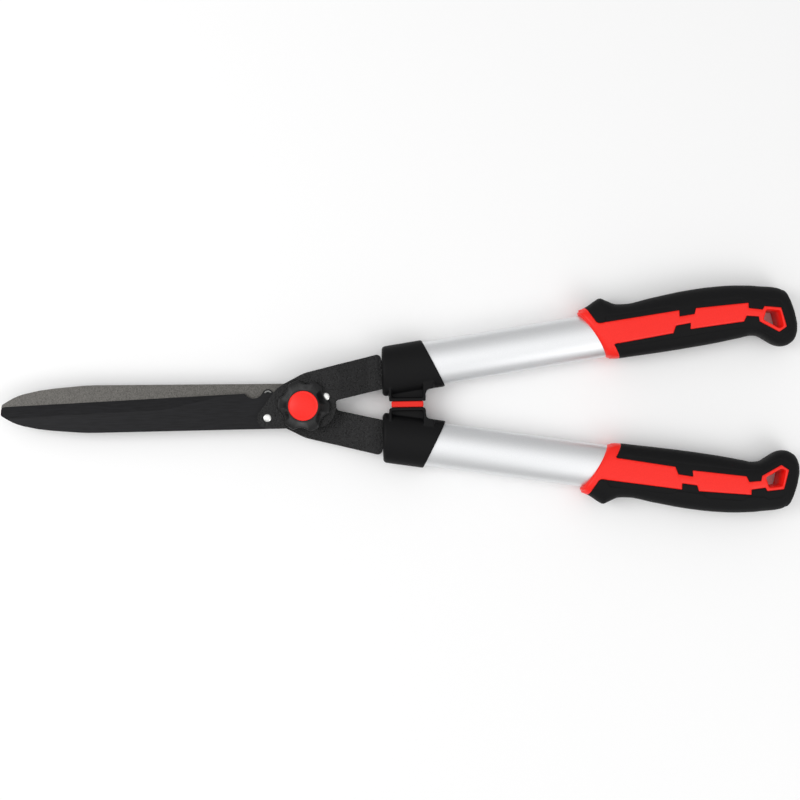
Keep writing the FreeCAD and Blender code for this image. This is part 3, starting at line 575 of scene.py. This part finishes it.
# ---- Stop -------------------------------------------------------------------------------------------------
# A red rubber block between the two bosses, held by a tongue in the front one. It takes the blow as the
# blades close. Compression moulded, so its edges are round and its skin is dull.
stop_low, stop_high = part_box("stop_bumper")
STOP_THICKNESS = 4.5 * MM
STOP_TONGUE = (15.0, 3.8, 3.6)                  # length, depth and height, mm
STOP_ROUND = 0.8 * MM

rubber = textured("moulded_red_rubber", "#E0261B", 1800, 3, ("#DE2015", "#F0271B"), (0.52, 0.7), 0.04 * MM,
                  roughness=0.6, Specular_IOR_Level=0.3)


def block(low, high):
    """Box mesh between two corners, metres."""
    built = bmesh.new()
    bmesh.ops.create_cube(built, size=1)
    for vertex in built.verts:
        vertex.co = [low[i] + (vertex.co[i] + 0.5) * (high[i] - low[i]) for i in range(3)]
    mesh = bpy.data.meshes.new("block")
    built.to_mesh(mesh)
    built.free()
    return mesh


face_y = stop_low.y + STOP_THICKNESS
stop = new_object("rubber_stop", block(stop_low, (stop_high.x, face_y, stop_high.z)))
softened(stop, STOP_ROUND, angle=40, segments=4)
middle_x = (stop_low.x + stop_high.x) / 2
length, depth, height = [value * MM for value in STOP_TONGUE]
tongue = new_object("tongue", block((middle_x - length / 2, face_y - 0.5 * MM, MID - height / 2),
                                    (middle_x + length / 2, face_y + depth, MID + height / 2)))
modified(stop, "BOOLEAN", object=tongue, operation="UNION", solver="EXACT")
bpy.data.objects.remove(tongue)
stop.data.materials.append(rubber)
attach(stop, "front_lever")
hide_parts("stop_bumper")

# ---- Grips ------------------------------------------------------------------------------------------------
# Two-shot mouldings: a hard red core that shows as a rim band, two panels with narrow links and the frame of
# the hanging hole, and a black thermoplastic elastomer round it, with a finger guard in front and a hook at
# the end. A fine seam runs between the two, and a raised pad follows it on the elastomer.
GRIP_START = 212.0                              # along the tube from the pivot, mm
GRIP_HALF = MID / MM                            # half of the grip's thickness, mm
SQUARENESS = 2.7                                # of the section; 2 is an ellipse
# Sections: distance from the grip's front, outer and inner side from the tube axis, share of the thickness.
GRIP_SECTIONS = (
    (-5.0, 19.4, 17.9, 0.87), (3.0, 21.0, 17.8, 0.90), (9.4, 23.0, 17.8, 0.93), (15.0, 25.8, 17.9, 0.96),
    (19.3, 27.1, 18.6, 0.98), (22.8, 25.0, 19.3, 0.99), (28.0, 21.7, 19.6, 1.0), (36.5, 20.0, 19.8, 1.0),
    (56.0, 21.0, 20.3, 1.0), (80.0, 22.2, 20.5, 1.0), (102.0, 21.8, 20.2, 1.0), (118.0, 20.3, 19.5, 1.0),
    (127.0, 18.8, 19.2, 1.0), (132.0, 17.9, 20.7, 1.0), (137.0, 16.6, 24.8, 1.0), (142.0, 15.5, 28.8, 0.99),
    (148.0, 14.0, 30.9, 0.97), (153.6, 11.4, 29.8, 0.91), (157.2, 7.6, 27.2, 0.81), (159.5, -2.5, 22.9, 0.64),
    (160.6, -11.0, 18.4, 0.43),
)
GRIP_END = GRIP_SECTIONS[-1][0]
RIM_ARC = ((-3.4, 23.6), (10.4, 0.7), (18.0, -24.0))    # front of the rim band: two ends and a middle point
RED_AREA = (
    (-40, 31, 0), (2.4, 31, 0), (12.8, 8.5, 3), (74, 8.1, 0.5), (73.4, 3.5, 0.5), (84.6, 3.5, 0.5),
    (86.5, 7.6, 0.5), (125.4, 5.1, 0.5), (124.9, 1.2, 0.5), (134.9, -1.6, 0.5), (136.6, 0.7, 0.8),
    (148.8, -2.3, 0.8),
    (150.7, -16.9, 0.8), (144.6, -19.8, 0.8), (131.5, -9.9, 0.8), (131.2, -6.1, 0.5), (122.5, -4.1, 0.5),
    (120, -8, 0.5), (79.9, -7, 0.5), (80.9, -2.5, 0.5), (69.7, -2.7, 0.5), (66.9, -7.9, 0.5),
    (22.4, -8.6, 0.8), (29.2, -28, 0), (-40, -28, 0),
)
HOLE = ((137.9, -1.9, 1.5), (147.6, -4.4, 1.5), (148.4, -16.4, 1.5), (145, -17.1, 1.5), (134.4, -9, 1.5))
PAD = (
    (17, 13.2, 3), (68, 12.4, 2), (71, 9.6, 1), (90, 9.4, 1), (93, 12, 2), (120, 10.2, 2), (123, 7, 1),
    (135, 5.4, 2), (138, 6.8, 2), (150, 3.4, 4), (155, -18, 5), (144, -25.5, 5), (129, -14.5, 4),
    (116, -12.2, 3), (28, -11.6, 3),
)
SEAM_DEPTH, SEAM_HALF = 0.45, 0.55              # groove between the two plastics, mm
PAD_RISE, PAD_SLOPE = 0.6, 0.7                  # raised pad round the red area and the width of its edge
HOLE_EDGE_ROUND = 0.9
RIM_ROUND = 2.8
RIM_EARS = ((16.6, 3.2), (-15.9, 2.2))          # where the band's front turns back, and corner radius
ALONG_STEP, ROUND_STEPS = 1.3, 56               # grid over the grip
SECTION_ARC, GRID_CLEARANCE = 1.6, 0.3          # arc of a section per half height; grid's gap from the lines
RIM_SHARES = (0.05, 0.16, 0.36, 0.66, 1)        # lines across the rounding of the rim
SKIN = 1.3 * MM


def grip_shape(along):
    """Outer side, inner side and height share at a distance along the grip, by a cubic."""
    table = np.array(GRIP_SECTIONS)
    x, y = table[:, 0], table[:, 1:]
    slopes = np.gradient(y, x, axis=0)
    i = int(np.clip(np.searchsorted(x, along) - 1, 0, len(x) - 2))
    width = x[i + 1] - x[i]
    t = (along - x[i]) / width
    start = y[i] * (1 + 2 * t) * (1 - t) ** 2 + slopes[i] * width * t * (1 - t) ** 2
    return start + y[i + 1] * t * t * (3 - 2 * t) + slopes[i + 1] * width * t * t * (t - 1)


def grip_point(along, turn):
    """Point of the smooth grip's top half; turn runs from 0 at the outer side to pi at the inner side."""
    outer, inner, share = grip_shape(along)
    c, s = math.cos(turn), max(0.0, math.sin(turn))
    across = (outer - inner) / 2 + (outer + inner) / 2 * math.copysign(abs(c) ** (2 / SQUARENESS), c)
    return across, GRIP_HALF * share * s ** (2 / SQUARENESS)


def grip_turn(along, across):
    """The turn at which the grip has this distance across."""
    outer, inner, _ = grip_shape(along)
    q = (across - (outer - inner) / 2) / ((outer + inner) / 2)
    return math.acos(max(-1.0, min(1.0, math.copysign(abs(q) ** (SQUARENESS / 2), q))))


def arc_through(a, b, c, count):
    """Points of the circle through a, b and c, from a to c."""
    a, b, c = Vector(a), Vector(b), Vector(c)
    d = 2 * (a.x * (b.y - c.y) + b.x * (c.y - a.y) + c.x * (a.y - b.y))
    squares = [p.length_squared for p in (a, b, c)]
    centre = Vector(((squares[0] * (b.y - c.y) + squares[1] * (c.y - a.y) + squares[2] * (a.y - b.y)) / d,
                     (squares[0] * (c.x - b.x) + squares[1] * (a.x - c.x) + squares[2] * (b.x - a.x)) / d))
    first, last = (math.atan2(p.y - centre.y, p.x - centre.x) for p in (a, c))
    sweep = (last - first + math.pi) % (2 * math.pi) - math.pi
    radius = (a - centre).length
    turns = [first + sweep * k / count for k in range(count + 1)]
    return [centre + radius * Vector((math.cos(t), math.sin(t))) for t in turns]


def thick_line(points, closed, step=1.2):
    """The line's points with none further apart than step."""
    made = []
    ends = points[1:] + points[:1] if closed else points[1:]
    for a, b in zip(points, ends):
        count = max(1, math.ceil((b - a).length / step))
        made += [a.lerp(b, k / count) for k in range(count)]
    return made if closed else made + [points[-1]]


def shifted(points, distance):
    """A closed line moved outwards by distance (inwards if negative); the points run clockwise."""
    made = []
    for i, here in enumerate(points):
        way = points[(i + 1) % len(points)] - points[i - 1]
        made.append(here + Vector((-way.y, way.x)).normalized() * distance)
    return made


def distance_to(line, points, closed=True):
    """Distance of each point from a line."""
    a = np.array(line)
    b = np.roll(a, -1, axis=0) if closed else a[1:]
    a = a if closed else a[:-1]
    best = np.full(len(points), 1e9)
    for start, end in zip(a, b):
        way = end - start
        t = np.clip(((points - start) @ way) / max(way @ way, 1e-12), 0, 1)
        best = np.minimum(best, np.linalg.norm(points - start - t[:, None] * way, axis=1))
    return best


def inside(line, points):
    """True for each point inside a closed line."""
    hit = np.zeros(len(points), bool)
    x, y = points[:, 0], points[:, 1]
    for a, b in zip(line, line[1:] + line[:1]):
        if a.y != b.y:
            crosses = ((a.y > y) != (b.y > y)) & (x < (b.x - a.x) * (y - a.y) / (b.y - a.y) + a.x)
            hit ^= crosses
    return hit


def smooth_step(values, low, high):
    t = np.clip((values - low) / (high - low), 0, 1)
    return t * t * (3 - 2 * t)


def ear_setback(across):
    """How far the rounded corner of the rim band lies behind its front arc."""
    for start, radius in RIM_EARS:
        beyond = (across - start) * math.copysign(1, start)
        if beyond > 0:
            return radius - math.sqrt(max(0.0, radius ** 2 - beyond ** 2))
    return 0.0


def grip_halves():
    """Red and black triangles of the top half, as positions (mm, along, across, up) and two index lists."""
    red_line = thick_line(outline(RED_AREA, math.radians(15)), True)
    hole_line = thick_line(outline(HOLE, math.radians(12)), True, 0.8)
    pad_line = thick_line(outline(PAD, math.radians(12)), True)
    rim_line = thick_line([p + Vector((ear_setback(p.y), 0)) for p in arc_through(*RIM_ARC, 80)], False, 0.6)
    lines = [(red_line, True), (hole_line, True), (pad_line, True), (rim_line, False)]
    lines += [(shifted(red_line, d), True) for d in (-SEAM_HALF, -SEAM_HALF / 2, SEAM_HALF / 2, SEAM_HALF)]
    lines += [(shifted(hole_line, d), True) for d in (HOLE_EDGE_ROUND / 3, HOLE_EDGE_ROUND)]
    lines += [(shifted(pad_line, d), True) for d in (-PAD_SLOPE / 2, PAD_SLOPE / 2)]
    rim_back = [p + Vector((RIM_ROUND, 0.35 * RIM_ROUND)) for p in rim_line]
    for share in RIM_SHARES:
        lines.append(([p.lerp(q, share) for p, q in zip(rim_line, rim_back)], False))
    # The grid is laid out in (along, arc) so that its triangles stay even on the steep sides.
    scale = GRIP_HALF * SECTION_ARC
    first = GRIP_SECTIONS[0][0]
    flat, edges = [], []
    for line, closed in lines:
        kept = [(first < p.x < GRIP_END - 0.05 and
                 0.02 < grip_turn(p.x, p.y) < math.pi - 0.02) for p in line]
        start = len(flat)
        ids = {}
        for i, p in enumerate(line):
            if kept[i]:
                ids[i] = len(flat)
                flat.append((p.x, grip_turn(p.x, p.y) * scale))
        for i in range(len(line) - (0 if closed else 1)):
            j = (i + 1) % len(line)
            if i in ids and j in ids:
                edges.append((ids[i], ids[j]))
            elif (i in ids) != (j in ids) and all(first < line[k].x < GRIP_END for k in (i, j)):
                out, near = (line[j], ids[i]) if i in ids else (line[i], ids[j])
                turn = 0.0 if grip_turn(out.x, out.y) < math.pi / 2 else math.pi
                flat.append((out.x, turn * scale))
                edges.append((near, len(flat) - 1))
    guard = np.array(flat)
    count = math.ceil((GRIP_END - first) / ALONG_STEP)
    for i in range(count + 1):
        along = first + (GRIP_END - first) * i / count
        for k in range(ROUND_STEPS + 1):
            spot = (along, math.pi * k / ROUND_STEPS * scale)
            border = k in (0, ROUND_STEPS) or i in (0, count)
            if border or np.min(np.abs(guard - spot).max(axis=1)) > GRID_CLEARANCE:
                flat.append(spot)
    result = delaunay_2d_cdt([Vector(p) for p in flat], edges, [], 0, 1e-5)
    spots = np.array([tuple(p) for p in result[0]])
    plan = np.zeros((len(spots), 2))
    rise = np.zeros(len(spots))
    for i, (along, arc) in enumerate(spots):
        across, up = grip_point(along, arc / scale)
        plan[i], rise[i] = (along, across), up
    has_height = rise > 0.05
    seam = distance_to(red_line, plan)
    groove = SEAM_DEPTH * (1 - smooth_step(seam, 0, SEAM_HALF))
    pad_signed = distance_to(pad_line, plan) * np.where(inside(pad_line, plan), 1, -1)
    in_red = inside(red_line, plan)
    raised = PAD_RISE * (1 - smooth_step(pad_signed, -PAD_SLOPE / 2, PAD_SLOPE / 2))
    hole_gap = distance_to(hole_line, plan)
    hole_drop = HOLE_EDGE_ROUND * (1 - np.sqrt(1 - (1 - np.clip(hole_gap / HOLE_EDGE_ROUND, 0, 1)) ** 2))
    level = rise - groove - np.where(in_red, PAD_RISE, PAD_RISE - raised)
    level = level - np.where(hole_gap < 3, hole_drop, 0)
    oval = np.sqrt(np.clip(1 - (plan[:, 1] / TUBE_HALF) ** 2, 0, 1))
    tube_rise = np.minimum(TUBE_RISE * oval + 0.05, rise)
    rim_gap = distance_to(rim_line, plan, False)
    rim_share = np.sqrt(1 - (1 - np.clip(rim_gap / RIM_ROUND, 0, 1)) ** 2)
    level = np.where(has_height, np.maximum(level, 0.3 * rise), rise)
    level = np.where(rim_gap < RIM_ROUND, tube_rise + (level - tube_rise) * rim_share, level)
    positions = np.column_stack((plan, level))
    triangles = np.array([f for f in result[2] if len(f) == 3])
    centres = plan[triangles].mean(axis=1)
    rim_across = np.array([p.y for p in rim_line])[::-1]
    rim_along = np.array([p.x for p in rim_line])[::-1]
    behind_rim = centres[:, 0] > np.interp(centres[:, 1], rim_across, rim_along)
    keep = ~inside(hole_line, centres) & behind_rim
    red = inside(red_line, centres)
    return positions, triangles[keep & red], triangles[keep & ~red], hole_line


def grip_skin(name, positions, triangles, hole_line=None):
    """Closed skin from the triangles of one half: mirrored to the underside, joined, and given its wall."""
    built = bmesh.new()
    halves = []
    for way in (1, -1):
        verts = {}
        for triangle in triangles:
            corner = []
            for i in triangle:
                if i not in verts:
                    along, across, up = positions[i]
                    verts[i] = built.verts.new(Vector((GRIP_START + along, across, way * up)) * MM)
                corner.append(verts[i])
            if len(set(corner)) == 3 and not built.faces.get(corner):
                built.faces.new(corner)
        halves.append(verts)
    upper, lower = halves
    edge_of = {v: i for i, v in upper.items()}
    for edge in [e for e in built.edges if e.is_boundary and all(v in edge_of for v in e.verts)]:
        i, j = (edge_of[v] for v in edge.verts)
        middle = (positions[i][:2] + positions[j][:2]) / 2
        at_end = middle[0] > GRIP_END - 0.01
        at_hole = hole_line is not None and distance_to(hole_line, middle[None, :])[0] < 0.02
        if (at_end or at_hole) and positions[i][2] + positions[j][2] > 0.01:
            built.faces.new((upper[i], upper[j], lower[j], lower[i]))
    bmesh.ops.remove_doubles(built, verts=built.verts, dist=1e-6)
    bmesh.ops.dissolve_degenerate(built, edges=built.edges, dist=1e-7)
    bmesh.ops.recalc_face_normals(built, faces=built.faces)
    mesh = bpy.data.meshes.new(name)
    built.to_mesh(mesh)
    built.free()
    made = new_object(name, to_handle(mesh))
    modified(made, "SOLIDIFY", thickness=SKIN, offset=-1)
    for polygon in made.data.polygons:
        polygon.use_smooth = True
    made.data.set_sharp_from_angle(angle=math.radians(50))
    return made


# Core: ABS injection moulded in red; smooth satin with the faintest flow grain.
red_abs = textured("moulded_red_abs", "#FC2318", 1600, 3, ("#F81E14", "#FF281C"), (0.3, 0.44), 0.015 * MM,
                   roughness=0.36, Specular_IOR_Level=0.3)

# Sleeve: styrenic elastomer in a blasted mould; dull, with a fine leathery grain about 0.6 mm across.
elastomer = textured("black_elastomer", "#111112", 1500, 3, ("#0D0D0E", "#161617"), (0.54, 0.74), 0.06 * MM,
                     roughness=0.62, Specular_IOR_Level=0.13)

grip_positions, red_triangles, black_triangles, grip_hole = grip_halves()
for side, body in SIDES:
    core = grip_skin(f"{side}_grip_hard_core", grip_positions, red_triangles, grip_hole)
    on_lever(core, side, body, "grip_core", "red_plastic", red_abs)
    sleeve = grip_skin(f"{side}_grip_soft_sleeve", grip_positions, black_triangles)
    on_lever(sleeve, side, body, "grip_sleeve", "soft_grip", elastomer)

# ---- Pivot bolt and washers -------------------------------------------------------------------------------
# A turned steel bolt whose flat round head lies underneath, with a square neck that keeps it from turning in
# the back shank, a washer, a bush for the blades and a disc spring on top. All are zinc plated.
HEAD_RADIUS, HEAD_ROUND, BOLT_RADIUS, NECK_HALF = 10.0, 2.0, 4.0, 4.3
WASHER_RADIUS, WASHER_BORE, WASHER_THICKNESS, WASHER_ROUND = 11.2, 6.2, 1.2, 0.3
HEAD_TOP = -(SHANK_OUT + WASHER_THICKNESS)
BOLT_TOP = 13.7
TURNED_COUNT = 96


def turned(name, profile):
    """Solid of revolution about the pivot axis from (radius, height) corners, mm from the middle plane."""
    turns = [2 * math.pi * k / TURNED_COUNT for k in range(TURNED_COUNT)]
    rows = [[(radius * math.cos(t), radius * math.sin(t), height) for t in turns]
            for radius, height in profile]
    made = new_object(name, lathe(rows, closed=profile[0][0] > 0.5))
    made.data.transform(Matrix.Translation((0, 0, MID)))
    for polygon in made.data.polygons:
        polygon.use_smooth = True
    made.data.set_sharp_from_angle(angle=math.radians(35))
    return made


def quarter(radius_at, height_at, size, start, end, count=6):
    """Points of a rounded corner: start and end are directions in degrees, seen from the corner's centre."""
    turns = [math.radians(start + (end - start) * k / count) for k in range(count + 1)]
    return [(radius_at + size * math.cos(t), height_at + size * math.sin(t)) for t in turns]


bolt_profile = [(0.01, -GRIP_HALF),
                *quarter(HEAD_RADIUS - HEAD_ROUND, -GRIP_HALF + HEAD_ROUND, HEAD_ROUND, -90, 0),
                *quarter(HEAD_RADIUS - 0.3, HEAD_TOP - 0.3, 0.3, 0, 90, 3), (BOLT_RADIUS, HEAD_TOP),
                (BOLT_RADIUS, BOLT_TOP - 0.6), (BOLT_RADIUS - 0.6, BOLT_TOP), (0.01, BOLT_TOP)]
bolt = turned("pivot_bolt_turned", bolt_profile)
neck = new_object("neck", block((-NECK_HALF * MM, -NECK_HALF * MM, MID + (HEAD_TOP - 1) * MM),
                                (NECK_HALF * MM, NECK_HALF * MM, MID - BLADE_OUT * MM)))
modified(bolt, "BOOLEAN", object=neck, operation="UNION", solver="EXACT")
bpy.data.objects.remove(neck)
washer_edge = (quarter(WASHER_RADIUS, HEAD_TOP + WASHER_ROUND, WASHER_ROUND, -90, 0, 3)
               + quarter(WASHER_RADIUS, -SHANK_OUT - WASHER_ROUND, WASHER_ROUND, 0, 90, 3))
washer = turned("pivot_washer_plain", [(WASHER_BORE, HEAD_TOP), *washer_edge, (WASHER_BORE, -SHANK_OUT)])
for piece, cad in ((bolt, "pivot_bolt"), (washer, "pivot_washer")):
    piece.data.materials.clear()
    piece.data.materials.append(zinc)
    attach(piece, "back_lever")
    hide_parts(cad)
for name in ("pivot_bush", "spring_washer", "thrust_washer", "tension_nut"):
    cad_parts[name].data.materials.clear()
    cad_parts[name].data.materials.append(zinc)

# ---- Tension dial -----------------------------------------------------------------------------------------
# A black nylon knob with six finger scallops holds the nut. Its flank sweeps up in a shallow hollow curve to
# the seat of the cap. A red ABS cap, slightly domed, snaps into the seat.
DIAL_RADIUS, DIAL_LOBES, DIAL_PHASE = 19.5, 6, math.radians(24)
SCALLOP_RADIUS, SCALLOP_DEPTH = 8.0, 3.0
DIAL_BOTTOM, DIAL_RIM_TOP = SHANK_OUT + 1.0, SHANK_OUT + 3.4
DIAL_SOFTNESS, DIAL_SWEEP = 1.1, 1.35           # of the scallops' edges, and power of the flank's curve
DIAL_COUNT, FLANK_STEPS = 240, 16
CAP_RADIUS, CAP_DOME, CAP_SINK, CAP_STEPS = 11.0, 1.6, 1.4, 12
SEAT_GAP, SEAT_LAND = 0.12, 0.9                 # round the cap, and the width of the flat ring beyond
DIAL_TOP = (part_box("tension_dial")[1].z - MID) / MM


def dial_radius(turn):
    """Radius of the dial's rim in a direction: a circle with round scallops, joined softly."""
    apart = 2 * math.pi / DIAL_LOBES
    off = (turn - DIAL_PHASE + apart / 2) % apart - apart / 2
    reach = DIAL_RADIUS + SCALLOP_RADIUS - SCALLOP_DEPTH
    under = SCALLOP_RADIUS ** 2 - (reach * math.sin(off)) ** 2
    scallop = reach * math.cos(off) - math.sqrt(under) if under > 0 else DIAL_RADIUS + 4
    rim, notch = math.exp(-DIAL_RADIUS / DIAL_SOFTNESS), math.exp(-scallop / DIAL_SOFTNESS)
    return -DIAL_SOFTNESS * math.log(rim + notch)


def dial_mesh():
    """The knob, row by row: hole rows have a radius, rim rows a share of the way from the land to the rim."""
    seat = CAP_RADIUS + SEAT_GAP
    land = seat + SEAT_LAND
    flank_height = DIAL_TOP - DIAL_RIM_TOP - 0.15
    rows = [
        ("hole", 7.2, DIAL_BOTTOM + 5.5), ("hole", seat - 0.4, DIAL_TOP - CAP_SINK - 0.1),
        ("hole", seat, DIAL_TOP - CAP_SINK), ("hole", seat, DIAL_TOP - 0.25),
        ("hole", seat + 0.25, DIAL_TOP), ("hole", land - 0.3, DIAL_TOP),
    ]
    for k in range(1, FLANK_STEPS + 1):
        share = k / FLANK_STEPS
        rows.append(("rim", share * 0.955, DIAL_RIM_TOP + flank_height * (1 - share) ** DIAL_SWEEP))
    rows += [
        ("rim", 0.975, DIAL_RIM_TOP - 0.15), ("rim", 0.99, DIAL_RIM_TOP - 0.5),
        ("rim", 1.0, DIAL_RIM_TOP - 1.0), ("rim", 1.0, DIAL_BOTTOM + 0.5),
        ("rim", 0.98, DIAL_BOTTOM + 0.1), ("rim", 0.95, DIAL_BOTTOM),
        ("hole", 13.3, DIAL_BOTTOM), ("hole", 12.9, DIAL_BOTTOM + 0.4),
        ("hole", 12.9, DIAL_BOTTOM + 1.5), ("hole", 7.6, DIAL_BOTTOM + 1.7),
    ]
    made = []
    for kind, value, height in rows:
        row = []
        for k in range(DIAL_COUNT):
            turn = 2 * math.pi * k / DIAL_COUNT
            radius = value if kind == "hole" else land + (dial_radius(turn) - land) * value
            row.append((radius * math.cos(turn), radius * math.sin(turn), height))
        made.append(row)
    return lathe(made)


# The same nylon in a polished mould, so the knob is glossier than the collars.
polished = textured("polished_black_nylon", "#0E0E0F", 1500, 2, ("#0C0C0D", "#121213"), (0.26, 0.38),
                    0.01 * MM, roughness=0.32, Specular_IOR_Level=0.4)

dial = new_object("tension_dial_knob", dial_mesh())
dial.data.transform(Matrix.Translation((0, 0, MID)))
for polygon in dial.data.polygons:
    polygon.use_smooth = True
dial.data.set_sharp_from_angle(angle=math.radians(40))
dial.data.materials.append(polished)
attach(dial, "dial")
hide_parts("tension_dial")

cap_ball = (CAP_RADIUS ** 2 + CAP_DOME ** 2) / (2 * CAP_DOME)
cap_bottom = DIAL_TOP - CAP_SINK
cap_profile = [(0.01, cap_bottom), (CAP_RADIUS - 0.2, cap_bottom), (CAP_RADIUS, cap_bottom + 0.2),
               *quarter(CAP_RADIUS - 0.5, DIAL_TOP + 0.05, 0.5, 0, 60, 4)]
for k in range(CAP_STEPS, -1, -1):
    radius = max(0.01, (CAP_RADIUS - 0.9) * k / CAP_STEPS)
    cap_profile.append((radius, DIAL_TOP + CAP_DOME - cap_ball + math.sqrt(cap_ball ** 2 - radius ** 2)))
cap = turned("dial_cap_domed", cap_profile)
cap.data.materials.append(red_abs)
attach(cap, "dial")
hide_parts("dial_cap")
